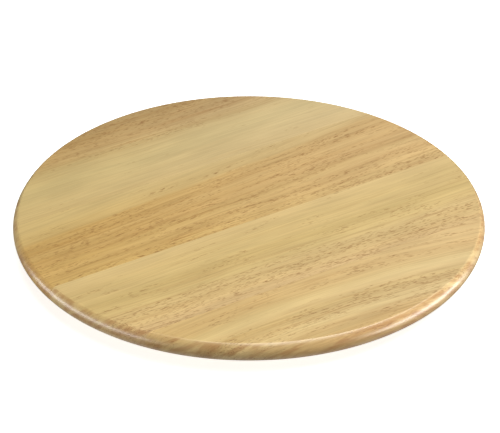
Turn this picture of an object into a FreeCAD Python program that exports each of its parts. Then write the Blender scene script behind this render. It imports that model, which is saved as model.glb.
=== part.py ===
"""Wooden lazy susan turntable: a glued-up round board on an aluminium ball-bearing ring.

Millimetres, +Z up. The origin is on the spin axis at the level of the feet's lower faces. The staves of
the board run along X and lie side by side along Y.

Three groups of pieces move against each other. The base ring stands on rubber feet. The swivel ring is
screwed to the underside of the board and turns with it. Steel balls, kept apart by nylon spacers, roll
in the round grooves between the two rings. The balls go in through a hole in the base ring's wall, and
a grub screw closes it.
"""

import FreeCAD
import Part
import math
import os

import Sketcher

DOCUMENT = "lazy_susan"
PARTS_FOLDER = "parts"

# Driving dimensions: alias, value, what it is.
DIMENSIONS = (
    ("board_diameter", 390.0, "widest point of the rounded rim"),
    ("board_thickness", 16.5, "board, flat face to flat face"),
    ("board_bottom", 15.5, "height of the board's underside"),
    ("rim_inset", 4.2, "how far the flat faces stop short of the widest point"),
    ("rim_ease", 0.7, "radius sanded on the two rim edges"),
    ("stave_width", 95.0, "pitch of the glue lines"),
    ("first_seam", -108.0, "Y of the glue line nearest the front"),
    ("strip_margin", 10.0, "how far the strips that part the staves stand out of the board"),
    ("ball_circle", 75.0, "radius of the circle of ball centres"),
    ("ball_height", 10.8, "height of the ball centres"),
    ("ball_radius", 2.5, "steel ball"),
    ("ball_count", 40.0, "balls, and as many spacers"),
    ("groove_radius", 2.6, "ball groove in both rings"),
    ("spacer_radius", 2.0, "nylon spacer rod"),
    ("spacer_play", 0.1, "gap between a ball and the hollow end of a spacer"),
    ("half_gap", 0.8, "half of the radial gap between the rings"),
    ("ring_wall", 5.7, "radial thickness of the wall that holds a groove"),
    ("ring_flange", 3.0, "thickness of both flanges"),
    ("ring_ease", 0.5, "radius on the exposed edges of the rings"),
    ("swivel_bottom", 6.8, "height of the swivel ring's lower face"),
    ("swivel_inner", 54.0, "inner radius of the swivel ring's flange"),
    ("base_top", 14.5, "height of the base ring's upper face"),
    ("base_outer", 93.0, "outer radius of the base ring's flange"),
    ("plug_radius", 2.6, "ball filling hole"),
    ("plug_sunk", 0.3, "how far the grub screw lies inside the hole"),
    ("plug_socket", 1.5, "corner radius of its hexagon socket"),
    ("plug_socket_depth", 1.6, "depth of that socket"),
    ("fit_clearance", 0.02, "left off the crests of every thread"),
    ("board_screws", 6.0, "countersunk wood screws"),
    ("board_screw_circle", 61.0, "radius of their circle"),
    ("board_screw_turn", 30.0, "angle of the first one from X"),
    ("board_screw_length", 13.0, "head face to point"),
    ("board_screw_crest", 1.75, "radius over the thread"),
    ("board_screw_root", 1.2, "radius under the thread"),
    ("board_screw_pitch", 1.4, "distance between thread crests"),
    ("board_screw_head", 3.5, "radius of the countersunk head"),
    ("board_screw_point", 2.4, "length of the tapered point"),
    ("flange_hole", 2.0, "radius of the screw hole through the flange"),
    ("countersink", 3.75, "radius of the countersink at the flange's face"),
    ("feet", 6.0, "rubber feet"),
    ("foot_circle", 86.0, "radius of their circle"),
    ("foot_radius", 6.5, "rubber foot"),
    ("foot_height", 5.0, "rubber foot"),
    ("foot_round", 1.2, "rounding of the foot's lower edge"),
    ("foot_recess", 4.0, "radius of the recess that hides the screw's head"),
    ("foot_recess_depth", 3.0, "depth of that recess"),
    ("foot_hole", 1.7, "radius of the screw hole in foot and washer"),
    ("washer_radius", 3.5, "steel washer in the recess"),
    ("washer_thickness", 0.6, "steel washer in the recess"),
    ("foot_screw_radius", 1.5, "machine screw"),
    ("foot_screw_length", 6.0, "machine screw, under the head"),
    ("foot_screw_head", 2.8, "radius of the pan head"),
    ("foot_screw_head_height", 1.7, "pan head"),
    ("foot_screw_side", 1.0, "height of the pan head's straight side"),
    ("recess_length", 3.4, "tip to tip of a screw's cross recess"),
    ("recess_width", 0.8, "width of one arm of the cross"),
    ("recess_depth", 1.1, "depth of the cross recess"),
)
STAVES = 5
FEET = 6
BOARD_SCREW_RIDGES = 5

# Sketcher's numbers for a sketch's own origin and axes, and for the points of a line or arc.
SKETCH_ORIGIN = (-1, 1)
ACROSS_AXIS = -1
UP_AXIS = -2
START_POINT, END_POINT, CENTRE_POINT = 1, 2, 3

BODY_NAMES = (
    "swivel_ring",
    "base_ring",
    "filler_plug",
    "bearing_balls",
    "ball_spacers",
    "ring_screws",
    "foot_washers",
    "foot_screws",
)


def make_sheet(doc):
    """The spreadsheet that drives every sketch and feature."""
    sheet = doc.addObject("Spreadsheet::Sheet", "dims")
    for row, (alias, value, note) in enumerate(DIMENSIONS, start=1):
        sheet.set(f"A{row}", alias)
        sheet.set(f"B{row}", str(value))
        sheet.set(f"C{row}", note)
        sheet.setAlias(f"B{row}", alias)
    doc.recompute()
    return sheet


def origin_feature(body, role):
    """One of a body's own planes or axes, such as XY_Plane or Z_Axis."""
    return next(f for f in body.Origin.OriginFeatures if f.Role == role)


def new_body(doc, name):
    """An empty body that may hold several separate solids."""
    body = doc.addObject("PartDesign::Body", name)
    body.Label = name
    body.AllowCompound = True
    return body


def new_sketch(body, name):
    """A sketch on the body's own XZ plane, which draws radius across and height up."""
    sketch = body.newObject("Sketcher::SketchObject", name)
    sketch.AttachmentSupport = [(origin_feature(body, "XZ_Plane"), "")]
    sketch.MapMode = "FlatFace"
    return sketch


def value_of(obj, expression):
    """The number that an expression on the sheet gives."""
    found = obj.evalExpression(expression)
    return float(getattr(found, "Value", found))


def hold(sketch, kind, *target, expression):
    """Adds a constraint whose size is bound to an expression."""
    size = value_of(sketch, expression)
    index = sketch.addConstraint(Sketcher.Constraint(kind, *target, size))
    sketch.setExpression(f"Constraints[{index}]", expression)


def pin(sketch, geometry, point, across, up):
    """Holds one point of a line or arc at two expressions, measured from the sketch's origin."""
    sides = (("DistanceX", UP_AXIS, across), ("DistanceY", ACROSS_AXIS, up))
    for kind, axis, expression in sides:
        if expression == "0":
            sketch.addConstraint(Sketcher.Constraint("PointOnObject", geometry, point, axis))
        else:
            hold(sketch, kind, *SKETCH_ORIGIN, geometry, point, expression=expression)


def arc_between(start, finish, radius, turn):
    """The shorter arc that joins two points. Turn is 1 where it runs anticlockwise, -1 clockwise."""
    chord = finish - start
    left = FreeCAD.Vector(-chord.y, chord.x, 0).normalize()
    rise = math.sqrt(radius**2 - (chord.Length / 2) ** 2)
    centre = (start + finish) * 0.5 + left * rise * turn
    first, last = (start, finish) if turn > 0 else (finish, start)
    angles = [math.atan2(p.y - centre.y, p.x - centre.x) for p in (first, last)]
    circle = Part.Circle(centre, FreeCAD.Vector(0, 0, 1), radius)
    return Part.ArcOfCircle(circle, angles[0], angles[1])


def outline(sketch, corners):
    """A closed outline of straight lines and arcs.

    Each corner is (across, up) in expressions, or (across, up, radius, turn) where an arc leaves it.
    """
    places = [
        FreeCAD.Vector(value_of(sketch, c[0]), value_of(sketch, c[1]), 0) for c in corners
    ]
    ends = []
    for k, corner in enumerate(corners):
        start, finish = places[k], places[(k + 1) % len(corners)]
        ends.append((START_POINT, END_POINT))
        if len(corner) == 2:
            sketch.addGeometry(Part.LineSegment(start, finish))
        else:
            radius = value_of(sketch, corner[2])
            sketch.addGeometry(arc_between(start, finish, radius, corner[3]))
            # An arc is kept anticlockwise, so a clockwise one is met from its end.
            if corner[3] < 0:
                ends[k] = (END_POINT, START_POINT)
    for k, corner in enumerate(corners):
        before = (k - 1) % len(corners)
        joined = Sketcher.Constraint("Coincident", before, ends[before][1], k, ends[k][0])
        sketch.addConstraint(joined)
        pin(sketch, k, ends[k][0], corner[0], corner[1])
        if len(corner) > 2:
            hold(sketch, "Radius", k, expression=corner[2])


def revolve(body, sketch, name):
    """Turns a half section once round the sketch's upright axis."""
    turned = body.newObject("PartDesign::Revolution", name)
    turned.Profile = sketch
    turned.ReferenceAxis = (sketch, ["V_Axis"])
    turned.Angle = 360
    sketch.Visibility = False
    return turned


def primitive(body, kind, name, sizes, place):
    """An additive or subtractive primitive on the body's XY plane.

    Sizes and place map property names to expressions. Place may hold x, y, z and turn, in degrees
    about Z, and tilt, in degrees about the primitive's own Y.
    """
    made = body.newObject("PartDesign::" + kind, name)
    made.AttachmentSupport = [(origin_feature(body, "XY_Plane"), "")]
    made.MapMode = "FlatFace"
    for key, expression in sizes.items():
        made.setExpression(key, expression)
    spin = FreeCAD.Rotation(FreeCAD.Vector(0, 0, 1), place.get("turn", 0.0))
    lean = FreeCAD.Rotation(FreeCAD.Vector(0, 1, 0), place.get("tilt", 0.0))
    made.AttachmentOffset = FreeCAD.Placement(FreeCAD.Vector(), spin * lean)
    for axis in "xyz":
        if axis in place:
            made.setExpression(f"AttachmentOffset.Base.{axis}", place[axis])
    return made


def ring_of(body, originals, count, name):
    """Repeats features round the Z axis, and makes the result the body's own.

    Turned features and primitives don't share a pattern, because one's place would shift the other.
    """
    pattern = body.newObject("PartDesign::PolarPattern", name)
    pattern.Originals = originals
    pattern.Axis = (origin_feature(body, "Z_Axis"), [""])
    pattern.Angle = 360
    pattern.setExpression("Occurrences", count)
    body.Tip = pattern


def circles_at(feature, places):
    """Names of a feature's whole-circle edges about Z at the given (radius, height) pairs."""
    found = []
    for k, edge in enumerate(feature.Shape.Edges, start=1):
        curve = edge.Curve
        if not isinstance(curve, Part.Circle) or abs(curve.Axis.z) < 0.999:
            continue
        for radius, height in places:
            if abs(curve.Radius - radius) < 1e-3 and abs(curve.Center.z - height) < 1e-3:
                found.append(f"Edge{k}")
    if len(found) != len(places):
        raise RuntimeError(f"{feature.Name}: {len(found)} edges for {len(places)} places")
    return found


def ease(body, feature, places, radius, name):
    """Rounds the circular edges of a turned piece. Places are (radius, height) expressions."""
    numbers = [(value_of(feature, a), value_of(feature, b)) for a, b in places]
    rounded = body.newObject("PartDesign::Fillet", name)
    rounded.Base = (feature, circles_at(feature, numbers))
    rounded.setExpression("Radius", radius)
    return rounded


def screw_place(height):
    """Where the first board screw's axis meets a height."""
    return {
        "x": "dims.board_screw_circle * cos(dims.board_screw_turn)",
        "y": "dims.board_screw_circle * sin(dims.board_screw_turn)",
        "z": height,
    }


def turned_board(doc):
    """The whole board before it is told apart into staves: rounded rim and screw pilot holes."""
    body = new_body(doc, "turned_board")
    flat = "dims.board_diameter / 2 - dims.rim_inset"
    bottom = "dims.board_bottom"
    top = "dims.board_bottom + dims.board_thickness"
    bulge = "((dims.board_thickness / 2) ^ 2 + dims.rim_inset ^ 2) / (2 * dims.rim_inset)"
    profile = new_sketch(body, "board_half_section")
    outline(profile, [("0", bottom), (flat, bottom, bulge, 1), (flat, top), ("0", top)])
    disc = revolve(body, profile, "board_disc")
    doc.recompute()
    ease(body, disc, [(flat, bottom), (flat, top)], "dims.rim_ease", "board_rim_ease")
    doc.recompute()
    sink = "dims.countersink - dims.board_screw_head"
    sizes = {
        "Radius": "dims.board_screw_crest + dims.fit_clearance",
        "Height": f"dims.board_screw_length - dims.ring_flange + {sink}",
    }
    pilot = primitive(body, "SubtractiveCylinder", "pilot_hole", sizes, screw_place(bottom))
    ring_of(body, [pilot], "dims.board_screws", "pilot_holes")
    body.Visibility = False
    return body


def staves(doc, board):
    """The staves of the board: strips of one pitch, each with its own piece of the rim."""
    for k in range(STAVES):
        strip = doc.addObject("Part::Box", f"strip_{k + 1}")
        strip.setExpression("Length", "dims.board_diameter + 2 * dims.strip_margin")
        strip.setExpression("Width", "dims.stave_width")
        strip.setExpression("Height", "dims.board_thickness + 2 * dims.strip_margin")
        strip.setExpression("Placement.Base.x", "-dims.board_diameter / 2 - dims.strip_margin")
        strip.setExpression("Placement.Base.y", f"dims.first_seam + {k - 1} * dims.stave_width")
        strip.setExpression("Placement.Base.z", "dims.board_bottom - dims.strip_margin")
        strip.Visibility = False
        stave = doc.addObject("Part::Common", f"board_stave_{k + 1}")
        stave.Base = board
        stave.Tool = strip
        stave.Label = f"board_stave_{k + 1}"


def groove_corners(wall, upwards):
    """The two corners of a ball groove in an upright wall, in the order the outline meets them."""
    half = f"sqrt(dims.groove_radius ^ 2 - ({wall} - dims.ball_circle) ^ 2)"
    low = f"dims.ball_height - {half}"
    high = f"dims.ball_height + {half}"
    if upwards:
        return [(wall, low, "dims.groove_radius", -1), (wall, high)]
    return [(wall, high, "dims.groove_radius", -1), (wall, low)]


def swivel_ring(doc):
    """The turning ring: a grooved wall and an inward flange with countersunk screw holes."""
    body = new_body(doc, "swivel_ring")
    inner = "dims.swivel_inner"
    outer = "dims.ball_circle - dims.half_gap"
    step = f"{outer} - dims.ring_wall"
    top = "dims.board_bottom"
    ledge = "dims.board_bottom - dims.ring_flange"
    bottom = "dims.swivel_bottom"
    profile = new_sketch(body, "swivel_half_section")
    corners = [(inner, ledge), (step, ledge), (step, bottom), (outer, bottom)]
    corners += groove_corners(outer, upwards=True)
    corners += [(outer, top), (inner, top)]
    outline(profile, corners)
    turned = revolve(body, profile, "swivel_turned")
    doc.recompute()
    exposed = [(inner, ledge), (step, bottom), (outer, bottom), (outer, top), (inner, top)]
    ease(body, turned, exposed, "dims.ring_ease", "swivel_eased")
    # Twice the flange's thickness, so that the hole runs past both of its faces.
    hole_sizes = {"Radius": "dims.flange_hole", "Height": "dims.ring_flange * 2"}
    below = screw_place(f"{ledge} - dims.ring_flange / 2")
    hole = primitive(body, "SubtractiveCylinder", "flange_hole", hole_sizes, below)
    sink_sizes = {
        "Radius1": "dims.countersink",
        "Radius2": "dims.flange_hole",
        "Height": "dims.countersink - dims.flange_hole",
    }
    sink = primitive(body, "SubtractiveCone", "countersink", sink_sizes, screw_place(ledge))
    ring_of(body, [hole, sink], "dims.board_screws", "flange_holes")


def base_ring(doc):
    """The standing ring: a grooved wall, an outward flange for the feet and the ball filling hole."""
    body = new_body(doc, "base_ring")
    inner = "dims.ball_circle + dims.half_gap"
    step = f"{inner} + dims.ring_wall"
    outer = "dims.base_outer"
    bottom = "dims.foot_height"
    ledge = "dims.foot_height + dims.ring_flange"
    top = "dims.base_top"
    profile = new_sketch(body, "base_half_section")
    corners = [(inner, bottom), (outer, bottom), (outer, ledge), (step, ledge)]
    corners += [(step, top), (inner, top)]
    corners += groove_corners(inner, upwards=False)
    outline(profile, corners)
    turned = revolve(body, profile, "base_turned")
    doc.recompute()
    exposed = [(inner, bottom), (outer, bottom), (outer, ledge), (step, top), (inner, top)]
    ease(body, turned, exposed, "dims.ring_ease", "base_eased")
    tapped_sizes = {
        "Radius": "dims.foot_screw_radius + dims.fit_clearance",
        "Height": "dims.ring_flange * 2",
    }
    below = {"x": "dims.foot_circle", "z": "dims.foot_height - dims.ring_flange / 2"}
    tapped = primitive(body, "SubtractiveCylinder", "tapped_hole", tapped_sizes, below)
    ring_of(body, [tapped], "dims.feet", "tapped_holes")
    # From the ball circle out past the wall's outer face.
    filling_sizes = {"Radius": "dims.plug_radius", "Height": "dims.ring_wall * 1.5"}
    filling = radial_place("dims.ball_circle")
    primitive(body, "SubtractiveCylinder", "ball_filling_hole", filling_sizes, filling)


def radial_place(radius):
    """A point of the filling hole's axis. The axis runs outwards, half way between two feet."""
    half_step = 180 / FEET
    return {
        "x": f"({radius}) * cos({half_step})",
        "y": f"({radius}) * sin({half_step})",
        "z": "dims.ball_height",
        "turn": half_step,
        "tilt": 90,
    }


def filler_plug(doc):
    """The grub screw in the filling hole. Its inner end carries on the ball groove."""
    body = new_body(doc, "filler_plug")
    start = "dims.ball_circle + dims.half_gap"
    length = "dims.ring_wall - dims.plug_sunk"
    rod_sizes = {"Radius": "dims.plug_radius - dims.fit_clearance", "Height": length}
    primitive(body, "AdditiveCylinder", "plug_rod", rod_sizes, radial_place(start))
    groove_sizes = {"Radius1": "dims.ball_circle", "Radius2": "dims.groove_radius"}
    primitive(body, "SubtractiveTorus", "plug_groove", groove_sizes, {"z": "dims.ball_height"})
    socket_sizes = {
        "Circumradius": "dims.plug_socket",
        "Height": "dims.plug_socket_depth * 2",
    }
    socket = radial_place(f"{start} + {length} - dims.plug_socket_depth")
    primitive(body, "SubtractivePrism", "plug_hex_socket", socket_sizes, socket)


def bearing_balls(doc):
    """The steel balls, evenly spaced on the ball circle."""
    body = new_body(doc, "bearing_balls")
    place = {"x": "dims.ball_circle", "z": "dims.ball_height"}
    ball = primitive(body, "AdditiveSphere", "ball", {"Radius": "dims.ball_radius"}, place)
    ring_of(body, [ball], "dims.ball_count", "balls")


def ball_spacers(doc):
    """Nylon rods bent to the ball circle, parted by the hollows that take the balls."""
    body = new_body(doc, "ball_spacers")
    profile = new_sketch(body, "spacer_section")
    across, up = "dims.ball_circle", "dims.ball_height"
    centre = FreeCAD.Vector(value_of(profile, across), value_of(profile, up), 0)
    radius = value_of(profile, "dims.spacer_radius")
    section = profile.addGeometry(Part.Circle(centre, FreeCAD.Vector(0, 0, 1), radius))
    pin(profile, section, CENTRE_POINT, across, up)
    hold(profile, "Radius", section, expression="dims.spacer_radius")
    revolve(body, profile, "spacer_rod")
    sizes = {"Radius": "dims.ball_radius + dims.spacer_play"}
    place = {"x": "dims.ball_circle", "z": "dims.ball_height"}
    hollow = primitive(body, "SubtractiveSphere", "hollow", sizes, place)
    ring_of(body, [hollow], "dims.ball_count", "hollows")


def cross_recess(body, name, at, bottom):
    """Two crossing slots in a screw's downward head, cut up from its lowest face."""
    slots = []
    for label, length, width in (
        ("long", "dims.recess_length", "dims.recess_width"),
        ("wide", "dims.recess_width", "dims.recess_length"),
    ):
        sizes = {"Length": length, "Width": width, "Height": "dims.recess_depth"}
        place = {"x": f"{at} - {length} / 2", "y": f"-{width} / 2", "z": bottom}
        slots.append(primitive(body, "SubtractiveBox", f"{name}_{label}", sizes, place))
    return slots


def turned_screws(doc, name, circle, corners, head_face, count):
    """Screws turned from one half section, head down, repeated round the Z axis."""
    body = new_body(doc, name)
    profile = new_sketch(body, f"{name}_half_section")
    # The attachment lays the sketch's origin on the screw's own axis.
    profile.setExpression("AttachmentOffset.Base.x", circle)
    outline(profile, corners)
    turned = revolve(body, profile, f"{name}_turned")
    ring_of(body, [turned], count, f"{name}_ring")
    slots = cross_recess(body, f"{name}_slot", circle, head_face)
    ring_of(body, slots, count, f"{name}_slot_ring")
    return body


def ring_screws(doc):
    """The countersunk screws that hold the swivel ring. V ridges stand for their thread."""
    head, root = "dims.board_screw_head", "dims.board_screw_root"
    crest, pitch = "dims.board_screw_crest", "dims.board_screw_pitch"
    face = f"dims.board_bottom - dims.ring_flange + dims.countersink - {head}"
    tip = f"{face} + dims.board_screw_length"
    shoulder = f"{tip} - dims.board_screw_point"
    corners = [("0", face), (head, face), (root, f"{face} + {head} - {root}")]
    for ridge in range(BOARD_SCREW_RIDGES, 0, -1):
        corners.append((root, f"{shoulder} - {ridge} * {pitch}"))
        corners.append((crest, f"{shoulder} - {ridge - 0.5} * {pitch}"))
    corners += [(root, shoulder), ("0", tip)]
    circle = "dims.board_screw_circle"
    body = turned_screws(doc, "ring_screws", circle, corners, face, "dims.board_screws")
    body.setExpression("Placement.Rotation.Angle", "dims.board_screw_turn")


def rubber_foot(doc, number):
    """One rubber foot: rounded below, with a screw hole and a recess that hides the screw.

    Returns the foot's name.
    """
    name = f"foot_{number + 1}"
    body = new_body(doc, name)
    profile = new_sketch(body, f"{name}_half_section")
    hole, recess, radius = "dims.foot_hole", "dims.foot_recess", "dims.foot_radius"
    corners = [
        (recess, "0"),
        (f"{radius} - dims.foot_round", "0", "dims.foot_round", 1),
        (radius, "dims.foot_round"),
        (radius, "dims.foot_height"),
        (hole, "dims.foot_height"),
        (hole, "dims.foot_recess_depth"),
        (recess, "dims.foot_recess_depth"),
    ]
    outline(profile, corners)
    revolve(body, profile, f"{name}_turned")
    angle = f"({number} * 360 / dims.feet)"
    body.setExpression("Placement.Base.x", f"dims.foot_circle * cos{angle}")
    body.setExpression("Placement.Base.y", f"dims.foot_circle * sin{angle}")
    return name


def foot_washers(doc):
    """A steel washer between each foot's recess and its screw's head."""
    body = new_body(doc, "foot_washers")
    profile = new_sketch(body, "washer_half_section")
    profile.setExpression("AttachmentOffset.Base.x", "dims.foot_circle")
    hole, rim = "dims.foot_hole", "dims.washer_radius"
    low, high = "dims.foot_recess_depth - dims.washer_thickness", "dims.foot_recess_depth"
    outline(profile, [(hole, low), (rim, low), (rim, high), (hole, high)])
    washer = revolve(body, profile, "washer")
    ring_of(body, [washer], "dims.feet", "washers")


def foot_screws(doc):
    """The pan-head machine screws that hold the feet to the base ring."""
    head, shank = "dims.foot_screw_head", "dims.foot_screw_radius"
    seat = "dims.foot_recess_depth - dims.washer_thickness"
    face = f"{seat} - dims.foot_screw_head_height"
    side = f"{seat} - dims.foot_screw_side"
    end = f"{seat} + dims.foot_screw_length"
    drop = "(dims.foot_screw_head_height - dims.foot_screw_side)"
    dome = f"({head} ^ 2 + {drop} ^ 2) / (2 * {drop})"
    corners = [("0", face, dome, 1), (head, side), (head, seat), (shank, seat)]
    corners += [(shank, end), ("0", end)]
    turned_screws(doc, "foot_screws", "dims.foot_circle", corners, face, "dims.feet")


def check(doc, names):
    """Stops if any object failed, or if any sub-part isn't a valid solid."""
    for obj in doc.Objects:
        if "Invalid" in obj.State or "Error" in obj.State:
            raise RuntimeError(f"{obj.Name} failed: {obj.State}")
    for name in names:
        shape = doc.getObject(name).Shape
        if shape.isNull() or not shape.isValid() or not shape.Solids:
            raise RuntimeError(f"{name} has no valid shape")


def build():
    """Builds the document, checks it and writes one file for each sub-part."""
    doc = FreeCAD.newDocument(DOCUMENT)
    make_sheet(doc)
    staves(doc, turned_board(doc))
    for make in (swivel_ring, base_ring, filler_plug, bearing_balls, ball_spacers):
        make(doc)
    for make in (ring_screws, foot_washers, foot_screws):
        make(doc)
    feet = [rubber_foot(doc, number) for number in range(FEET)]
    doc.recompute()
    names = [f"board_stave_{k + 1}" for k in range(STAVES)] + feet + list(BODY_NAMES)
    check(doc, names)
    os.makedirs(PARTS_FOLDER, exist_ok=True)
    for name in names:
        shape = doc.getObject(name).Shape
        shape.exportStep(f"{PARTS_FOLDER}/{name}.step")
        print(f"{name}: {len(shape.Solids)} solid(s), {shape.Volume / 1000:.2f} cm3")


build()
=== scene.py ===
"""Looks for a round wooden lazy susan on an aluminium ball-bearing ring.

Lengths are in millimetres until a mesh is finished, when they become metres. The staves run
along X.
"""

import logging
import math
from dataclasses import dataclass
from typing import Iterable

import bmesh
import bpy
from mathutils import Matrix, Vector


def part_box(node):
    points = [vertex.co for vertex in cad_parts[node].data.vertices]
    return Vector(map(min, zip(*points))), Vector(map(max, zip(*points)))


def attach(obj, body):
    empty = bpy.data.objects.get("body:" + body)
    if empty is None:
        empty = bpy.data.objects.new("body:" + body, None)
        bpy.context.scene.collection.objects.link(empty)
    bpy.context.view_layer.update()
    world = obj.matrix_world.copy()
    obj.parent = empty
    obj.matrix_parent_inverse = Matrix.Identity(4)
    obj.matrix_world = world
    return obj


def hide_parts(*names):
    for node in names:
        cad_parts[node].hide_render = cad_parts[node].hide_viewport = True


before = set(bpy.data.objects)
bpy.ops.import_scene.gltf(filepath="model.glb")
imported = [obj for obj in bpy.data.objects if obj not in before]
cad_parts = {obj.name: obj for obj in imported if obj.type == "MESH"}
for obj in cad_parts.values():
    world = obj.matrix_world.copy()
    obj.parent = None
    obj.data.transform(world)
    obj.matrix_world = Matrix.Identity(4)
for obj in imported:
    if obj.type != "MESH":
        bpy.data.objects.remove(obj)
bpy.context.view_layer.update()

log = logging.getLogger("lazy_susan")
MM = 0.001
# Millimetres within which two places count as one.
NEAR = 1e-3
WELD = 1e-4


# ---------------------------------------------------------------------------------------------
# Materials: helpers
# ---------------------------------------------------------------------------------------------

# Node settings that come up again and again.
ADD = {"operation": "ADD"}
SUBTRACT = {"operation": "SUBTRACT"}
MULTIPLY = {"operation": "MULTIPLY"}
GREATER = {"operation": "MAXIMUM"}
LENGTH = {"operation": "LENGTH"}
SMOOTH = {"interpolation_type": "SMOOTHSTEP"}
TINT = {"data_type": "RGBA", "clamp_factor": True}

# The inputs and the output that a Mix node has for colours.
MIX_AMOUNT, MIX_COLOUR, MIX_TINT, MIXED = 0, 6, 7, 2


def linear(colour: str) -> tuple[float, float, float, float]:
    """Turns an sRGB hex colour to linear, by the standard's own curve.

    Args:
        colour: Six hex digits, with or without a leading #.

    Returns:
        Red, green, blue and an alpha of 1.
    """
    digits = colour.lstrip("#")
    channels = [int(digits[k : k + 2], 16) / 255 for k in (0, 2, 4)]
    flat = [c / 12.92 if c <= 0.04045 else ((c + 0.055) / 1.055) ** 2.4 for c in channels]
    return (*flat, 1.0)


def add_node(
    tree: bpy.types.NodeTree, kind: str, settings: dict[str, object], inputs: dict | tuple
) -> bpy.types.Node:
    """Adds a node with its settings and links.

    Args:
        tree: The material's node tree.
        kind: The node's type name without its ShaderNode prefix.
        settings: Property names to their values.
        inputs: Sockets to link or values to set, in the order of the node's inputs, or by their
            names or numbers.

    Returns:
        The new node.
    """
    node = tree.nodes.new("ShaderNode" + kind)
    for key, value in settings.items():
        setattr(node, key, value)
    feeds = inputs if isinstance(inputs, dict) else dict(enumerate(inputs))
    for key, feed in feeds.items():
        if isinstance(feed, bpy.types.NodeSocket):
            tree.links.new(feed, node.inputs[key])
        else:
            node.inputs[key].default_value = feed
    return node


def new_material(name: str) -> tuple[bpy.types.Material, bpy.types.NodeTree, bpy.types.Node]:
    """Starts a material.

    Args:
        name: The finish's common name.

    Returns:
        The material, its node tree and its shader.
    """
    material = bpy.data.materials.new(name)
    material.use_nodes = True
    tree = material.node_tree
    return material, tree, tree.nodes["Principled BSDF"]


def in_millimetres(tree: bpy.types.NodeTree) -> bpy.types.NodeSocket:
    """The place on the object in millimetres.

    Args:
        tree: The material's node tree.

    Returns:
        The vector's socket.
    """
    place = add_node(tree, "TexCoord", {}, {}).outputs["Object"]
    return add_node(tree, "Mapping", {}, {"Vector": place, "Scale": (1 / MM,) * 3}).outputs[0]


# ---------------------------------------------------------------------------------------------
# Materials: wood
# ---------------------------------------------------------------------------------------------


@dataclass(frozen=True)
class Figure:
    """How the growth bands of one stave lie, and what they look like.

    Attributes:
        skew: Rise of the bands per millimetre along the stave.
        fan: How much that rise grows per millimetre across it.
        bow: Rise per square metre along the stave, which bends the bands.
        bands: Millimetres across the grain, the wood's colour there, and how crowded its pores
            are, from 0 to 1.
        tone: How much lighter the right end is than the left one.
        saturation_and_sheen: Colour strength at each end; the right end's fade is a painted sheen.
        seed: Sets which part of the noise patterns the stave shows.
    """

    skew: float
    fan: float
    bow: float
    bands: tuple[tuple[float, str, float], ...]
    tone: float
    saturation_and_sheen: tuple[float, float]
    seed: int


@dataclass(frozen=True)
class Grain:
    """A mottle drawn out along the fibre.

    Attributes:
        length: Millimetres of one blotch along the fibre.
        width: Millimetres of one blotch across it.
        detail: How many finer layers it has.
    """

    length: float
    width: float
    detail: float

    def pattern(
        self, tree: bpy.types.NodeTree, place: bpy.types.NodeSocket
    ) -> bpy.types.NodeSocket:
        """Draws the mottle.

        Args:
            tree: The material's node tree.
            place: The place in the log.

        Returns:
            The pattern's socket, near 0.5 on average.
        """
        scale = (1 / self.length, 1 / self.width, 1 / (self.width * 2))
        mapped = add_node(tree, "Mapping", {}, {"Vector": place, "Scale": scale}).outputs[0]
        inputs = {"Vector": mapped, "Scale": 1.0, "Detail": self.detail, "Roughness": 0.55}
        return add_node(tree, "TexNoise", {}, inputs).outputs[0]


@dataclass(frozen=True)
class GrowthLines:
    """Darker lines of one width.

    Attributes:
        grain: The mottle whose crests are the lines.
        start: Where on the mottle a line starts.
        full: Where on the mottle a line is darkest.
        strength: How dark it gets there.
    """

    grain: Grain
    start: float
    full: float
    strength: float


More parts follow.
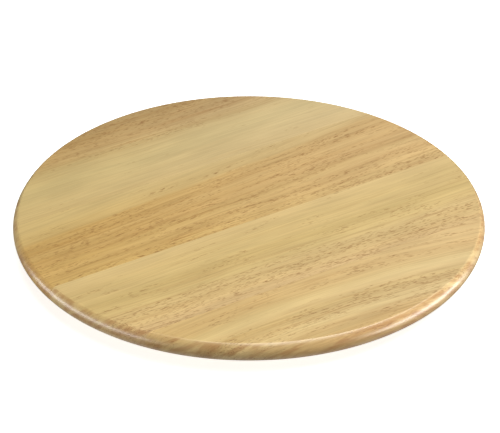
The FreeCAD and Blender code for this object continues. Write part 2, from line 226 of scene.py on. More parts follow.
@dataclass(frozen=True)
class LacqueredRubberwood:
    """Rubberwood, planed and sanded, under clear satin acrylic lacquer.

    It gives the eye pale honey wood with soft bands, crowds of short brown pore dashes along the
    grain, thin growth lines, darker patches of end grain on the rim, and a broad low sheen.

    Attributes:
        figure: The stave's growth bands.
        top: Height of the board's upper face.
        streak: Colour of the growth lines.
        pore: Colour of the pores.
        end_grain: Colour that the rim takes where it cuts the fibre.
        roughness: Roughness of the wood between the pores.
        coat: The lacquer's weight.
        coat_roughness: The lacquer's roughness.
        ior: The lacquer's refractive index.
        slant: Rise of the bands per millimetre through the board's thickness.
        band_warp: Millimetres that the bands waver to either side.
        band_waves: Millimetres of one waver along, across and up.
        seed_step: Millimetres between one stave's patch of the waver and the next one's.
        log_step: Millimetres between one stave's patch of the log and the next one's.
        half_length: Half of the longest stave.
        fibre: The finest mottle.
        blotch: The broadest mottle.
        crowd: Where the pores gather.
        patch: Where the rim drinks more lacquer.
        lines: The growth lines, broadest first.
        pores: Length and width of each size of pore.
        relief: Millimetres of height that the pores and the fibre have.
    """

    figure: Figure
    top: float
    streak: str = "#9A6C31"
    pore: str = "#7E4C14"
    end_grain: str = "#94561C"
    roughness: float = 0.44
    coat: float = 0.7
    coat_roughness: float = 0.28
    ior: float = 1.48
    slant: float = 0.9
    band_warp: float = 4.5
    band_waves: tuple[float, float, float] = (150.0, 34.0, 50.0)
    seed_step: float = 37.0
    log_step: float = 1000.0
    half_length: float = 190.0
    fibre: Grain = Grain(55, 1.5, 2)
    blotch: Grain = Grain(70, 22, 2)
    crowd: Grain = Grain(42, 6, 2)
    patch: Grain = Grain(26, 7, 3)
    lines: tuple[GrowthLines, ...] = (
        GrowthLines(Grain(300, 8.0, 2), start=0.50, full=0.78, strength=0.26),
        GrowthLines(Grain(120, 2.6, 2), start=0.50, full=0.72, strength=0.30),
        GrowthLines(Grain(50, 1.3, 2), start=0.50, full=0.72, strength=0.34),
    )
    pores: tuple[tuple[float, float], ...] = ((4.0, 0.45), (7.5, 0.55))
    relief: float = 0.06

    def build(self, name: str) -> bpy.types.Material:
        """Makes the material of one stave.

        Args:
            name: The material's name.

        Returns:
            The material.
        """
        material, tree, shader = new_material(name)
        here = in_millimetres(tree)
        across = self._across(tree, here)
        place = self._log_space(tree, here, across)
        colour, crowding = self._bands(tree, across)
        fibre = self.fibre.pattern(tree, place)
        pores = self._pores(tree, place, crowding)
        colour = self._streaks(tree, colour, place, crowding)
        colour = self._shade(tree, colour, place, here, fibre)
        colour = self._end_grain(tree, colour, place)
        depth = add_node(tree, "Math", MULTIPLY, (pores, 0.75)).outputs[0]
        inputs = {MIX_AMOUNT: depth, MIX_COLOUR: colour, MIX_TINT: linear(self.pore)}
        colour = add_node(tree, "Mix", TINT, inputs).outputs[MIXED]
        tree.links.new(colour, shader.inputs["Base Color"])
        self._surface(tree, shader, fibre, pores)
        return material

    def _across(
        self, tree: bpy.types.NodeTree, here: bpy.types.NodeSocket
    ) -> bpy.types.NodeSocket:
        """Millimetres across the growth bands, with their skew, fan, bow and waver.

        Args:
            tree: The material's node tree.
            here: The place in millimetres.

        Returns:
            The distance's socket.
        """
        along, width, height = add_node(tree, "SeparateXYZ", {}, (here,)).outputs
        lean = add_node(tree, "Math", MULTIPLY, (width, self.figure.fan)).outputs[0]
        lean = add_node(tree, "Math", ADD, (lean, self.figure.skew)).outputs[0]
        rise = add_node(tree, "Math", MULTIPLY, (lean, along)).outputs[0]
        square = add_node(tree, "Math", MULTIPLY, (along, along)).outputs[0]
        bend = self.figure.bow * MM**2
        bow = add_node(tree, "Math", MULTIPLY, (square, bend)).outputs[0]
        across = add_node(tree, "Math", SUBTRACT, (width, rise)).outputs[0]
        across = add_node(tree, "Math", SUBTRACT, (across, bow)).outputs[0]
        # The bands lie at a slant through the board's thickness, so the rim cuts them in waves.
        depth = add_node(tree, "Math", SUBTRACT, (height, self.top)).outputs[0]
        slant = add_node(tree, "Math", MULTIPLY, (depth, self.slant)).outputs[0]
        across = add_node(tree, "Math", ADD, (across, slant)).outputs[0]
        offset = self.seed_step * self.figure.seed
        scale = tuple(1 / wave for wave in self.band_waves)
        inputs = {"Vector": here, "Location": (offset, offset, 0), "Scale": scale}
        mapped = add_node(tree, "Mapping", {}, inputs).outputs[0]
        inputs = {"Vector": mapped, "Scale": 1.0, "Detail": 3.0, "Roughness": 0.5}
        waver = add_node(tree, "TexNoise", {}, inputs).outputs[0]
        centred = add_node(tree, "Math", SUBTRACT, (waver, 0.5)).outputs[0]
        waver = add_node(tree, "Math", MULTIPLY, (centred, 2 * self.band_warp)).outputs[0]
        return add_node(tree, "Math", ADD, (across, waver)).outputs[0]

    def _log_space(
        self,
        tree: bpy.types.NodeTree,
        here: bpy.types.NodeSocket,
        across: bpy.types.NodeSocket,
    ) -> bpy.types.NodeSocket:
        """The place with its second axis following the growth bands.

        Args:
            tree: The material's node tree.
            here: The place in millimetres.
            across: Millimetres across the bands.

        Returns:
            The vector's socket, shifted for this stave.
        """
        along, _, height = add_node(tree, "SeparateXYZ", {}, (here,)).outputs
        offset = self.log_step * self.figure.seed
        shifted = add_node(tree, "Math", ADD, (along, offset)).outputs[0]
        return add_node(tree, "CombineXYZ", {}, (shifted, across, height)).outputs[0]

    def _bands(
        self, tree: bpy.types.NodeTree, across: bpy.types.NodeSocket
    ) -> tuple[bpy.types.NodeSocket, bpy.types.NodeSocket]:
        """The colour of each growth band, and how crowded its pores are.

        Args:
            tree: The material's node tree.
            across: Millimetres across the bands.

        Returns:
            The colour's socket and the crowding's socket.
        """
        stops = self.figure.bands
        low, high = stops[0][0], stops[-1][0]
        reach = add_node(tree, "MapRange", {}, (across, low, high)).outputs[0]
        ramp = add_node(tree, "ValToRGB", {}, (reach,))
        elements = ramp.color_ramp.elements
        while len(elements) < len(stops):
            elements.new(0.5)
        for element, (place, colour, crowding) in zip(elements, stops):
            element.position = (place - low) / (high - low)
            # The ramp's alpha carries the crowding.
            element.color = (*linear(colour)[:3], crowding)
        return ramp.outputs[0], ramp.outputs[1]

    def _streaks(
        self,
        tree: bpy.types.NodeTree,
        colour: bpy.types.NodeSocket,
        place: bpy.types.NodeSocket,
        crowding: bpy.types.NodeSocket,
    ) -> bpy.types.NodeSocket:
        """Darker growth lines, from a hair to a few millimetres wide.

        Args:
            tree: The material's node tree.
            colour: The bands' colour.
            place: The place in the log.
            crowding: How crowded the pores are.

        Returns:
            The colour's socket.
        """
        total = None
        for lines in self.lines:
            crest = lines.grain.pattern(tree, place)
            inputs = (crest, lines.start, lines.full, 0.0, lines.strength)
            line = add_node(tree, "MapRange", SMOOTH, inputs).outputs[0]
            if total is None:
                total = line
            else:
                total = add_node(tree, "Math", ADD, (total, line)).outputs[0]
        allowed = add_node(tree, "MapRange", SMOOTH, (crowding, 0.0, 0.8, 0.15, 1.0)).outputs[0]
        amount = add_node(tree, "Math", MULTIPLY, (total, allowed)).outputs[0]
        inputs = {MIX_AMOUNT: amount, MIX_COLOUR: colour, MIX_TINT: linear(self.streak)}
        return add_node(tree, "Mix", TINT, inputs).outputs[MIXED]

    def _pores(
        self,
        tree: bpy.types.NodeTree,
        place: bpy.types.NodeSocket,
        crowding: bpy.types.NodeSocket,
    ) -> bpy.types.NodeSocket:
        """Short dashes where the vessels are cut open, in crowds along the growth bands.

        A real pore is 0.1 to 0.2 mm wide. It is drawn three to four times that, which is as
        coarse as it needs to be to show.

        Args:
            tree: The material's node tree.
            place: The place in the log.
            crowding: How crowded the pores are, from 0 to 1.

        Returns:
            The pattern's socket, from 0 to 1.
        """
        crowd = self.crowd.pattern(tree, place)
        favour = add_node(tree, "Math", MULTIPLY, (crowding, 0.34)).outputs[0]
        crowd = add_node(tree, "Math", ADD, (crowd, favour)).outputs[0]
        allowed = add_node(tree, "MapRange", SMOOTH, (crowd, 0.64, 0.84, 0.03, 1.0)).outputs[0]
        dashes = None
        for length, width in self.pores:
            # A cell is longer and wider than the dash in its middle.
            cell = (1 / (length * 1.6), 1 / (width * 2.4), 1 / (width * 2.4))
            mapped = add_node(tree, "Mapping", {}, {"Vector": place, "Scale": cell}).outputs[0]
            inputs = {"Vector": mapped, "Scale": 1.0, "Randomness": 1.0}
            centre = add_node(tree, "TexVoronoi", {}, inputs).outputs["Distance"]
            inputs = (centre, 0.17, 0.31, 1.0, 0.0)
            dash = add_node(tree, "MapRange", SMOOTH, inputs).outputs[0]
            if dashes is None:
                dashes = dash
            else:
                dashes = add_node(tree, "Math", GREATER, (dashes, dash)).outputs[0]
        return add_node(tree, "Math", MULTIPLY, (dashes, allowed)).outputs[0]

    def _shade(
        self,
        tree: bpy.types.NodeTree,
        colour: bpy.types.NodeSocket,
        place: bpy.types.NodeSocket,
        here: bpy.types.NodeSocket,
        fibre: bpy.types.NodeSocket,
    ) -> bpy.types.NodeSocket:
        """Lightens and darkens the colour along the fibre, in soft blotches and end to end.

        Args:
            tree: The material's node tree.
            colour: The colour so far.
            place: The place in the log.
            here: The place in millimetres.
            fibre: The fibre pattern.

        Returns:
            The colour's socket.
        """
        blotch = self.blotch.pattern(tree, place)
        fine = add_node(tree, "MapRange", SMOOTH, (fibre, 0.3, 0.7, 0.94, 1.06)).outputs[0]
        broad = add_node(tree, "MapRange", SMOOTH, (blotch, 0.3, 0.7, 0.95, 1.05)).outputs[0]
        value = add_node(tree, "Math", MULTIPLY, (fine, broad)).outputs[0]
        along = add_node(tree, "SeparateXYZ", {}, (here,)).outputs[0]
        reach = (along, -self.half_length, self.half_length)
        ends = (1 - self.figure.tone / 2, 1 + self.figure.tone / 2)
        tone = add_node(tree, "MapRange", SMOOTH, (*reach, *ends)).outputs[0]
        value = add_node(tree, "Math", MULTIPLY, (value, tone)).outputs[0]
        # The left end keeps the wood's own colour strength; the fade to the right end is a painted
        # sheen from the lamps on that side.
        saturation_with_sheen = add_node(tree, "MapRange", SMOOTH, (*reach, *self.figure.saturation_and_sheen)).outputs[0]
        inputs = {"Color": colour, "Value": value, "Saturation": saturation_with_sheen}
        return add_node(tree, "HueSaturation", {}, inputs).outputs[0]

    def _end_grain(
        self,
        tree: bpy.types.NodeTree,
        colour: bpy.types.NodeSocket,
        place: bpy.types.NodeSocket,
    ) -> bpy.types.NodeSocket:
        """Deepens the colour in patches where the rim cuts the fibre and drinks more lacquer.

        Args:
            tree: The material's node tree.
            colour: The colour so far.
            place: The place in the log.

        Returns:
            The colour's socket.
        """
        facing = add_node(tree, "TexCoord", {}, {}).outputs["Normal"]
        up = add_node(tree, "SeparateXYZ", {}, (facing,)).outputs[2]
        upright = add_node(tree, "Math", MULTIPLY, (up, up)).outputs[0]
        rim = add_node(tree, "MapRange", SMOOTH, (upright, 0.35, 0.95, 1.0, 0.0)).outputs[0]
        patch = self.patch.pattern(tree, place)
        patch = add_node(tree, "MapRange", SMOOTH, (patch, 0.45, 0.62, 0.10, 0.48)).outputs[0]
        amount = add_node(tree, "Math", MULTIPLY, (rim, patch)).outputs[0]
        inputs = {MIX_AMOUNT: amount, MIX_COLOUR: colour, MIX_TINT: linear(self.end_grain)}
        return add_node(tree, "Mix", TINT, inputs).outputs[MIXED]

    def _surface(
        self,
        tree: bpy.types.NodeTree,
        shader: bpy.types.Node,
        fibre: bpy.types.NodeSocket,
        pores: bpy.types.NodeSocket,
    ) -> None:
        """The lacquer: satin, and dipped a little over each pore.

        Args:
            tree: The material's node tree.
            shader: The material's shader.
            fibre: The fibre pattern.
            pores: The pore pattern.
        """
        shader.inputs["IOR"].default_value = self.ior
        rough = add_node(tree, "Math", MULTIPLY, (pores, 0.2)).outputs[0]
        rough = add_node(tree, "Math", ADD, (rough, self.roughness)).outputs[0]
        tree.links.new(rough, shader.inputs["Roughness"])
        raised = add_node(tree, "Math", MULTIPLY, (fibre, 0.35)).outputs[0]
        height = add_node(tree, "Math", SUBTRACT, (raised, pores)).outputs[0]
        inputs = {"Strength": 0.3, "Distance": self.relief * MM, "Height": height}
        bump = add_node(tree, "Bump", {}, inputs).outputs[0]
        tree.links.new(bump, shader.inputs["Normal"])
        shader.inputs["Coat Weight"].default_value = self.coat
        shader.inputs["Coat Roughness"].default_value = self.coat_roughness


# ---------------------------------------------------------------------------------------------
# Materials: bearing and feet
# ---------------------------------------------------------------------------------------------


@dataclass(frozen=True)
class TurnedAluminium:
    """Aluminium, turned on a lathe and satin anodised clear.

    It gives the eye soft silver with fine tool rings about the axis that draw highlights out.

    Attributes:
        colour: The metal's main colour.
        valley: Its colour in the bottom of a tool mark.
        roughness: Its roughness on average.
        tool_pitch: Millimetres from one tool mark to the next.
        relief: Millimetres of height that the tool marks have.
    """

    colour: str = "#C6C8CA"
    valley: str = "#A9ACAF"
    roughness: float = 0.33
    tool_pitch: float = 0.7
    relief: float = 0.02

    def build(self, name: str) -> bpy.types.Material:
        """Makes the material.

        A real tool mark is 0.1 mm wide. It is drawn about seven times that, so that it shows.

        Args:
            name: The material's name.

        Returns:
            The material.
        """
        material, tree, shader = new_material(name)
        here = in_millimetres(tree)
        flat = add_node(tree, "Mapping", {}, {"Vector": here, "Scale": (1, 1, 0)}).outputs[0]
        radius = add_node(tree, "VectorMath", LENGTH, (flat,)).outputs["Value"]
        height = add_node(tree, "SeparateXYZ", {}, (here,)).outputs[2]
        along = add_node(tree, "Math", MULTIPLY, (radius, 1 / self.tool_pitch)).outputs[0]
        up = add_node(tree, "Math", MULTIPLY, (height, 1 / self.tool_pitch)).outputs[0]
        place = add_node(tree, "CombineXYZ", {}, (along, up)).outputs[0]
        inputs = {"Vector": place, "Scale": 1.0, "Detail": 3.0, "Roughness": 0.6}
        rings = add_node(tree, "TexNoise", {}, inputs).outputs[0]
        inputs = {"Vector": here, "Scale": 0.06, "Detail": 3.0}
        cloud = add_node(tree, "TexNoise", {}, inputs).outputs[0]
        groove = add_node(tree, "MapRange", SMOOTH, (rings, 0.35, 0.75, 0.0, 0.6)).outputs[0]
        inputs = {
            MIX_AMOUNT: groove,
            MIX_COLOUR: linear(self.colour),
            MIX_TINT: linear(self.valley),
        }
        colour = add_node(tree, "Mix", TINT, inputs).outputs[MIXED]
        tree.links.new(colour, shader.inputs["Base Color"])
        shader.inputs["Metallic"].default_value = 1.0
        ends = (self.roughness - 0.06, self.roughness + 0.06)
        rough = add_node(tree, "MapRange", SMOOTH, (rings, 0.3, 0.7, *ends)).outputs[0]
        handled = add_node(tree, "MapRange", SMOOTH, (cloud, 0.35, 0.7, -0.03, 0.06)).outputs[0]
        rough = add_node(tree, "Math", ADD, (rough, handled)).outputs[0]
        tree.links.new(rough, shader.inputs["Roughness"])
        inputs = {"Strength": 0.35, "Distance": self.relief * MM, "Height": rings}
        bump = add_node(tree, "Bump", {}, inputs).outputs[0]
        tree.links.new(bump, shader.inputs["Normal"])
        return material


@dataclass(frozen=True)
class Speckled:
    """A finish with a fine grain in its colour, its gloss and its height.

    Attributes:
        colour: The finish's main colour.
        fleck: The colour of its grain.
        flecks: How strongly the grain shows, from 0 to 1.
        grain: Millimetres across one grain.
        roughness: Its least and greatest roughness.
        relief: Millimetres that the grain stands up.
        metallic: 1 for a bare metal.
        ior: The refractive index of anything that isn't a metal.
        subsurface: How much light soaks in, from 0 to 1.
        cloud: How many grains wide its broad mottle is.
    """

    colour: str
    fleck: str
    flecks: float
    grain: float
    roughness: tuple[float, float]
    relief: float
    metallic: float = 0.0
    ior: float = 1.5
    subsurface: float = 0.0
    cloud: float = 9.0

    def build(self, name: str) -> bpy.types.Material:
        """Makes the material.

        Args:
            name: The material's name.

        Returns:
            The material.
        """
        material, tree, shader = new_material(name)
        here = in_millimetres(tree)
        inputs = {"Vector": here, "Scale": 1 / self.grain, "Detail": 4.0, "Roughness": 0.6}
        grain = add_node(tree, "TexNoise", {}, inputs).outputs[0]
        inputs = {"Vector": here, "Scale": 1 / (self.grain * self.cloud), "Detail": 2.0}
        cloud = add_node(tree, "TexNoise", {}, inputs).outputs[0]
        both = add_node(tree, "Math", ADD, (grain, cloud)).outputs[0]
        both = add_node(tree, "Math", MULTIPLY, (both, 0.5)).outputs[0]
        inputs = (both, 0.4, 0.62, 0.0, self.flecks)
        mottle = add_node(tree, "MapRange", SMOOTH, inputs).outputs[0]
        inputs = {
            MIX_AMOUNT: mottle,
            MIX_COLOUR: linear(self.colour),
            MIX_TINT: linear(self.fleck),
        }
        colour = add_node(tree, "Mix", TINT, inputs).outputs[MIXED]
        tree.links.new(colour, shader.inputs["Base Color"])
        inputs = (both, 0.38, 0.62, *self.roughness)
        rough = add_node(tree, "MapRange", SMOOTH, inputs).outputs[0]
        tree.links.new(rough, shader.inputs["Roughness"])
        inputs = {"Strength": 0.5, "Distance": self.relief * MM, "Height": grain}
        bump = add_node(tree, "Bump", {}, inputs).outputs[0]
        tree.links.new(bump, shader.inputs["Normal"])
        shader.inputs["Metallic"].default_value = self.metallic
        if not self.metallic:
            shader.inputs["IOR"].default_value = self.ior
        if self.subsurface:
            shader.inputs["Subsurface Weight"].default_value = self.subsurface
            shader.inputs["Subsurface Scale"].default_value = MM
        return material


# Bright zinc plate over pressed steel: cool silver with a fine crystal mottle.
ZINC_PLATED_STEEL = Speckled(
    colour="#C3C8CE",
    fleck="#9EA3A6",
    flecks=0.7,
    grain=0.9,
    roughness=(0.22, 0.36),
    relief=0.01,
    metallic=1.0,
)
# Hardened steel, ground and polished: a dark mirror with the faintest haze from grease.
POLISHED_BALL_STEEL = Speckled(
    colour="#D2D3D6",
    fleck="#B4B4B2",
    flecks=0.4,
    grain=0.8,
    roughness=(0.06, 0.13),
    relief=0.001,
    metallic=1.0,
)
# Natural nylon, moulded: milky cream that lets a little light soak in.
MOULDED_NYLON = Speckled(
    colour="#E8E2D2",
    fleck="#D8CFB8",
    flecks=0.6,
    grain=1.6,
    roughness=(0.38, 0.5),
    relief=0.01,
    ior=1.53,
    subsurface=0.15,
)
# Black rubber, moulded: almost no gloss, and a faint grey bloom.
MOULDED_RUBBER = Speckled(
    colour="#151516",
    fleck="#2E2E2D",
    flecks=0.7,
    grain=0.7,
    roughness=(0.62, 0.82),
    relief=0.03,
    ior=1.52,
)


# ---------------------------------------------------------------------------------------------
# Meshes: helpers
# ---------------------------------------------------------------------------------------------


def circle_loops(bm: bmesh.types.BMesh, radius: float, height: float) -> list[bmesh.types.BMEdge]:
    """The edges of a circle about Z.

    Args:
        bm: The mesh, in millimetres.
        radius: The circle's radius.
        height: The circle's height.

    Returns:
        The edges.
    """

    def on_circle(vertex: bmesh.types.BMVert) -> bool:
        """True for a vertex of the circle."""
        off = max(abs(vertex.co.xy.length - radius), abs(vertex.co.z - height))
        return off < NEAR

    return [e for e in bm.edges if all(on_circle(v) for v in e.verts)]


def fix_order(bm: bmesh.types.BMesh) -> None:
    """Numbers a mesh by place, because the operators number it differently in each run.

    Args:
        bm: The mesh.
    """
    for k, vertex in enumerate(sorted(bm.verts, key=lambda v: tuple(v.co))):
        vertex.index = k
    bm.verts.sort()
    for elements in (bm.edges, bm.faces):
        ordered = sorted(elements, key=lambda e: sorted(v.index for v in e.verts))
        for k, element in enumerate(ordered):
            element.index = k
        elements.sort()


def finish_piece(
    name: str,
    bm: bmesh.types.BMesh,
    body: str,
    material: bpy.types.Material,
    nodes: Iterable[str],
    sharp_degrees: float = 35.0,
) -> bpy.types.Object:
    """Turns a mesh in millimetres to a piece in its place.

    Args:
        name: The piece's name.
        bm: The mesh, which is freed.
        body: The body that the piece rides on.
        material: The piece's finish.
        nodes: The CAD nodes that the piece stands for.
        sharp_degrees: Edges that turn by more than this stay crisp.

    Returns:
        The piece.
    """
    bmesh.ops.recalc_face_normals(bm, faces=bm.faces[:])
    bmesh.ops.scale(bm, vec=(MM,) * 3, verts=bm.verts[:])
    fix_order(bm)
    mesh = bpy.data.meshes.new(name)
    bm.to_mesh(mesh)
    bm.free()
    mesh.shade_smooth()
    mesh.set_sharp_from_angle(angle=math.radians(sharp_degrees))
    mesh.materials.append(material)
    piece = bpy.data.objects.new(name, mesh)
    bpy.context.scene.collection.objects.link(piece)
    # Large flats keep their own direction, so that light runs evenly up to each eased edge.
    even = piece.modifiers.new("even_light", "WEIGHTED_NORMAL")
    even.mode = "FACE_AREA"
    even.keep_sharp = True
    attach(piece, body)
    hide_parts(*nodes)
    log.info("%s: %d faces", name, len(mesh.polygons))
    return piece


def dress(names: Iterable[str], material: bpy.types.Material) -> None:
    """Gives carried-over pieces their finish.

    Args:
        names: The pieces' names.
        material: Their finish.
    """
    for name in names:
        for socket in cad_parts[name].material_slots:
            socket.material = material
        log.info("%s: %s", name, material.name)


# ---------------------------------------------------------------------------------------------
# The board
# ---------------------------------------------------------------------------------------------

FIGURES = (
    Figure(
        skew=-0.05,
        fan=0.0,
        bow=-500.0,
        bands=(
            (-196, "#CAA76A", 0.5),
            (-182, "#CBAD72", 0.5),
            (-176, "#CEB076", 0.7),
            (-168, "#D7BC81", 0.4),
            (-160, "#C9AC72", 0.9),
            (-150, "#C9AC70", 0.8),
            (-144, "#CEB177", 0.3),
            (-138, "#D2B77C", 0.1),
            (-132, "#CEB276", 0.2),
            (-124, "#CBAB6F", 0.6),
            (-118, "#CFAE71", 0.6),
            (-108, "#CFAF73", 0.5),
        ),
        tone=0.02,
        saturation_and_sheen=(1.0, 0.92),
        seed=1,
    ),
    Figure(
        skew=0.02,
        fan=0.0004,
        bow=0.0,
        bands=(
            (-108, "#CDAC72", 0.8),
            (-102, "#CEAD71", 1.0),
            (-96, "#D1B172", 0.9),
            (-88, "#CAAB6C", 1.0),
            (-80, "#CDAF70", 0.8),
            (-72, "#CEB16E", 0.5),
            (-55, "#C7AA66", 0.5),
            (-44, "#CCAF6D", 0.3),
            (-34, "#CBAE6C", 0.4),
            (-18, "#D0B272", 0.1),
            (-12, "#D1B474", 0.1),
        ),
        tone=0.0,
        saturation_and_sheen=(0.95, 0.92),
        seed=2,
    ),
    Figure(
        skew=0.028,
        fan=0.0007,
        bow=0.0,
        bands=(
            (-14, "#CBA969", 1.0),
            (-8, "#CDAB6A", 0.9),
            (0, "#CFAC6C", 0.6),
            (5, "#C3A062", 0.9),
            (11, "#D1AE6E", 0.5),
            (18, "#CBA969", 0.6),
            (25, "#C4A062", 0.9),
            (29, "#CAA668", 0.6),
            (33, "#C39F61", 0.9),
            (42, "#CDAA6B", 0.5),
            (49, "#C19D5F", 0.9),
            (53, "#C9A667", 0.6),
            (59, "#C7A465", 0.8),
            (63, "#C9AB6F", 0.4),
            (70, "#CBAE72", 0.3),
            (84, "#CBB178", 0.15),
        ),
        tone=0.06,
        saturation_and_sheen=(1.04, 0.92),
        seed=3,
    ),
    Figure(
        skew=0.012,
        fan=0.0,
        bow=0.0,
        bands=(
            (80, "#CBB078", 0.2),
            (96, "#CBB27B", 0.15),
            (122, "#CBB47C", 0.1),
            (138, "#C9B078", 0.25),
            (144, "#C3A971", 0.6),
            (152, "#C3A56E", 0.7),
            (160, "#C0A069", 0.8),
            (168, "#BB9B64", 0.9),
            (180, "#B89962", 0.9),
        ),
        tone=0.04,
        saturation_and_sheen=(1.04, 0.92),
        seed=4,
    ),
    Figure(
        skew=0.0,
        fan=0.0,
        bow=0.0,
        bands=((174, "#B7975F", 1.0), (186, "#B5965F", 0.9), (196, "#B69663", 0.8)),
        tone=0.0,
        saturation_and_sheen=(1.0, 0.94),
        seed=5,
    ),
)


@dataclass
class Board:
    """The round board: staves glued edge to edge, with a rounded rim.

    Attributes:
        rim_inset: How far the flat faces stop short of the widest point.
        rim_ease: Width of the sanding on the rim's two edges.
        glue_line: Width of the hair of a groove along each glue line.
        steps: Straight pieces round the rim.
        rim_steps: Straight pieces from the rim's lower edge to its upper one.
        ease_steps: Straight pieces across the sanding on an edge.
        glue_steps: Straight pieces across each side of a glue line.
        end_margin: A stave that ends within this of the rim has no glue line there.
        names: The staves, from the front one to the back one.
    """

    rim_inset: float = 4.2
    rim_ease: float = 0.8
    glue_line: float = 0.1
    steps: int = 360
    rim_steps: int = 22
    ease_steps: int = 5
    glue_steps: int = 2
    end_margin: float = 1.0
    names: tuple[str, ...] = tuple(f"board_stave_{k}" for k in range(1, 6))

    def __post_init__(self) -> None:
        """Reads the board's place from the frame."""
        boxes = [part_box(name) for name in self.names]
        self.radius = max(high.x for _, high in boxes) / MM
        self.bottom = min(low.z for low, _ in boxes) / MM
        self.top = max(high.z for _, high in boxes) / MM
        self.spans = [(low.y / MM, high.y / MM) for low, high in boxes]

    def turned(self) -> bmesh.types.BMesh:
        """The whole disc, before it is told apart into staves.

        Returns:
            A closed mesh in millimetres.
        """
        bm = bmesh.new()
        half = (self.top - self.bottom) / 2
        flat = self.radius - self.rim_inset
        bulge = (half**2 + self.rim_inset**2) / (2 * self.rim_inset)
        centre = Vector((self.radius - bulge, 0, self.bottom + half))
        sweep = 2 * math.asin(half / bulge)
        start = bm.verts.new((flat, 0, self.bottom))
        bmesh.ops.spin(
            bm,
            geom=[start],
            cent=centre,
            axis=(0, -1, 0),
            angle=sweep,
            steps=self.rim_steps,
            use_duplicate=False,
        )
        bmesh.ops.spin(
            bm,
            geom=bm.verts[:] + bm.edges[:],
            cent=(0, 0, 0),
            axis=(0, 0, 1),
            angle=math.tau,
            steps=self.steps,
            use_merge=True,
            use_duplicate=False,
        )
        bmesh.ops.remove_doubles(bm, verts=bm.verts[:], dist=WELD)
        open_edges = [e for e in bm.edges if e.is_boundary]
        bmesh.ops.holes_fill(bm, edges=open_edges, sides=0)
        corners = circle_loops(bm, flat, self.bottom) + circle_loops(bm, flat, self.top)
        bmesh.ops.bevel(
            bm,
            geom=corners,
            offset=self.rim_ease,
            offset_type="OFFSET",
            affect="EDGES",
            segments=self.ease_steps,
            profile=0.5,
            material=-1,
        )
        return bm

    def stave(self, turned: bmesh.types.BMesh, span: tuple[float, float]) -> bmesh.types.BMesh:
        """Cuts one stave out of the disc and eases its glued edges.

        Args:
            turned: The whole disc.
            span: Y where the stave starts and ends.

        Returns:
            The stave's mesh.
        """
        bm = turned.copy()
        for place, outwards in ((span[0], -1), (span[1], 1)):
            if abs(place) > self.radius - self.end_margin:
                continue
            bmesh.ops.bisect_plane(
                bm,
                geom=bm.verts[:] + bm.edges[:] + bm.faces[:],
                plane_co=(0, place, 0),
                plane_no=(0, outwards, 0),
                clear_outer=True,
            )
            cut = [e for e in bm.edges if e.is_boundary]
            bmesh.ops.holes_fill(bm, edges=cut, sides=0)
            seam = [e for e in cut if e.is_valid]
            bmesh.ops.bevel(
                bm,
                geom=seam,
                offset=self.glue_line / 2,
                offset_type="OFFSET",
                affect="EDGES",
                segments=self.glue_steps,
                profile=0.5,
                material=-1,
            )
        return bm

    def build(self) -> list[bpy.types.Object]:
        """Builds and dresses the staves.

        Returns:
            The pieces.
        """
        turned = self.turned()
        pieces = []
        for name, span, figure in zip(self.names, self.spans, FIGURES):
            wood = LacqueredRubberwood(figure, self.top)
            material = wood.build(f"lacquered_rubberwood_{name[-1]}")
            bm = self.stave(turned, span)
            pieces.append(finish_piece(name + "_wood", bm, "turntable", material, [name]))
        turned.free()
        return pieces


# ---------------------------------------------------------------------------------------------
# The bearing and the feet
# ---------------------------------------------------------------------------------------------


@dataclass
class BallBearing:
    """The two turned rings, the balls and spacers between them, the plug and the ring's screws.

    Attributes:
        rings: The pieces turned from aluminium.
    """

    rings: tuple[str, ...] = ("swivel_ring", "base_ring")

    def build(self) -> None:
        """Dresses the bearing."""
        dress(self.rings, TurnedAluminium().build("satin_anodised_aluminium"))
        dress(["bearing_balls"], POLISHED_BALL_STEEL.build("polished_ball_steel"))
        dress(["ball_spacers"], MOULDED_NYLON.build("moulded_nylon"))
        dress(["filler_plug", "ring_screws"], ZINC_PLATED_STEEL.build("zinc_plated_steel"))


@dataclass
class Feet:
    """The rubber feet with their screws and washers.

    Attributes:
        count: How many feet there are.
    """

    count: int = 6

    def build(self) -> None:
        """Dresses the feet."""
        names = [f"foot_{k}" for k in range(1, self.count + 1)]
        dress(names, MOULDED_RUBBER.build("moulded_black_rubber"))
        dress(["foot_washers", "foot_screws"], ZINC_PLATED_STEEL.build("zinc_plated_fastener"))


# ---------------------------------------------------------------------------------------------
# The studio
# ---------------------------------------------------------------------------------------------


@dataclass(frozen=True)
class Softbox:
    """A rectangular studio light.

    Attributes:
        name: What it is called.
        bearing: Degrees round from the camera's right hand, towards what lies behind the board.
        height: Degrees above the floor.
        distance: Metres from the board.
        size: Metres across and up.
        watts: Its power.
        tint: Its colour.
    """

    name: str
    bearing: float
    height: float
    distance: float
    size: tuple[float, float]
    watts: float
    tint: str = "#FFFFFF"


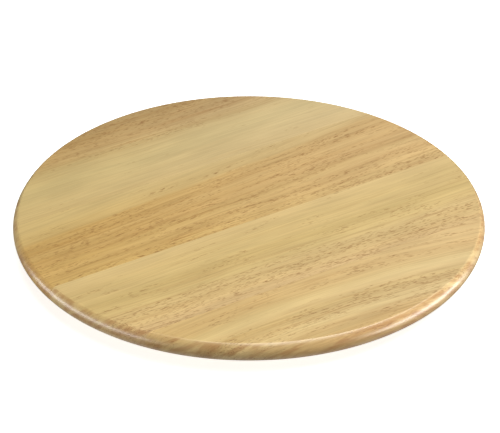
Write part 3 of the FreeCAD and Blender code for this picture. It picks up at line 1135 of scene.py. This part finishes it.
@dataclass
class Studio:
    """The camera, the lights and the floor.

    Attributes:
        turn: Degrees that the view is turned from +Y towards +X.
        height: Degrees that the camera looks down.
        distance: Metres from the camera to the board.
        lens: The lens's length in millimetres.
        sensor: The sensor's width in millimetres.
        shift: The lens's shift, across and up.
        reach: Metres that the camera sees.
        floor: The floor's colour.
        floor_size: Half of the floor's width in metres.
        floor_roughness: How matt the floor is.
        glow: How brightly the floor shines by itself.
        ambient: The strength of the even light from all round.
        boxes: The lights.
    """

    turn: float = 31.9
    height: float = 32.4
    distance: float = 2.5
    lens: float = 217.4
    sensor: float = 36.0
    shift: tuple[float, float] = (0.002, 0.007)
    reach: float = 20.0
    floor: str = "#F7F6F3"
    floor_size: float = 8.0
    floor_roughness: float = 0.9
    glow: float = 0.8
    ambient: float = 0.13
    boxes: tuple[Softbox, ...] = (
        Softbox("overhead", bearing=-50, height=70, distance=1.9, size=(1.6, 1.6), watts=41.0),
        Softbox("high_right", bearing=0, height=55, distance=1.5, size=(0.9, 0.7), watts=7.3),
        Softbox("rim_right", bearing=-10, height=-8.5, distance=1.5, size=(1.4, 0.42), watts=20.0),
        Softbox("rim_left", bearing=194, height=-8.5, distance=1.5, size=(1.9, 0.42), watts=16.0),
        Softbox("underneath", bearing=0, height=-90, distance=0.7, size=(1.1, 1.1), watts=1.2),
    )

    def _towards(self, bearing: float, height: float) -> Vector:
        """A direction from the board, in the frame.

        Args:
            bearing: Degrees round from the camera's right hand.
            height: Degrees above the floor.

        Returns:
            A unit vector.
        """
        flat = math.radians(bearing - self.turn)
        up = math.radians(height)
        return Vector(
            (math.cos(flat) * math.cos(up), math.sin(flat) * math.cos(up), math.sin(up))
        )

    def _aim(self, obj: bpy.types.Object, place: Vector, at: Vector) -> None:
        """Puts a light or the camera at a place, looking at a point.

        Args:
            obj: The light or the camera.
            place: Where it goes.
            at: What it looks at.
        """
        look = (at - place).to_track_quat("-Z", "Y")
        obj.matrix_world = Matrix.Translation(place) @ look.to_matrix().to_4x4()

    def build(self, centre: Vector) -> None:
        """Adds the camera, the lights and the floor.

        Args:
            centre: The middle of the board.
        """
        scene = bpy.context.scene
        scene.view_settings.view_transform = "Standard"
        camera = bpy.data.objects.new("camera", bpy.data.cameras.new("camera"))
        camera.data.lens = self.lens
        camera.data.sensor_width = self.sensor
        camera.data.shift_x, camera.data.shift_y = self.shift
        camera.data.clip_end = self.reach
        scene.collection.objects.link(camera)
        self._aim(camera, centre + self._towards(-90, self.height) * self.distance, centre)
        scene.camera = camera
        for box in self.boxes:
            light = bpy.data.objects.new(box.name, bpy.data.lights.new(box.name, "AREA"))
            light.data.shape = "RECTANGLE"
            light.data.size, light.data.size_y = box.size
            light.data.energy = box.watts
            light.data.color = linear(box.tint)[:3]
            scene.collection.objects.link(light)
            place = centre + self._towards(box.bearing, box.height) * box.distance
            self._aim(light, place, centre)
        self._world(scene)
        self._floor(scene)

    def _world(self, scene: bpy.types.Scene) -> None:
        """Lights the scene evenly from all round.

        Args:
            scene: The scene.
        """
        world = bpy.data.worlds.new("studio")
        world.use_nodes = True
        background = world.node_tree.nodes["Background"]
        background.inputs[0].default_value = linear("#FFFFFF")
        background.inputs[1].default_value = self.ambient
        scene.world = world

    def _floor(self, scene: bpy.types.Scene) -> None:
        """Lays the plain pale floor.

        Args:
            scene: The scene.
        """
        bm = bmesh.new()
        bmesh.ops.create_grid(bm, x_segments=1, y_segments=1, size=self.floor_size)
        mesh = bpy.data.meshes.new("floor")
        bm.to_mesh(mesh)
        bm.free()
        material, tree, shader = new_material("matt_white_paper")
        shader.inputs["Roughness"].default_value = self.floor_roughness
        shader.inputs["Base Color"].default_value = linear(self.floor)
        # A light table glows through the paper, so the board's shadow stays faint.
        shader.inputs["Emission Color"].default_value = linear("#FFFFFF")
        shader.inputs["Emission Strength"].default_value = self.glow
        # From underneath the floor is clear, so that the underside can be looked at.
        under = add_node(tree, "NewGeometry", {}, {}).outputs["Backfacing"]
        clear = add_node(tree, "BsdfTransparent", {}, {}).outputs[0]
        both = add_node(tree, "MixShader", {}, (under, shader.outputs[0], clear))
        tree.links.new(both.outputs[0], tree.nodes["Material Output"].inputs["Surface"])
        mesh.materials.append(material)
        floor = bpy.data.objects.new("floor", mesh)
        # The floor is only there for the camera, so the lamps below it reach the rim.
        floor.visible_diffuse = False
        floor.visible_glossy = False
        floor.visible_shadow = False
        scene.collection.objects.link(floor)


def main() -> None:
    """Builds the looks in order."""
    logging.basicConfig(level=logging.INFO, format="%(name)s: %(message)s")
    board = Board()
    board.build()
    BallBearing().build()
    Feet().build()
    centre = Vector((0, 0, (board.bottom + board.top) / 2 * MM))
    Studio().build(centre)


if __name__ == "__main__":
    main()
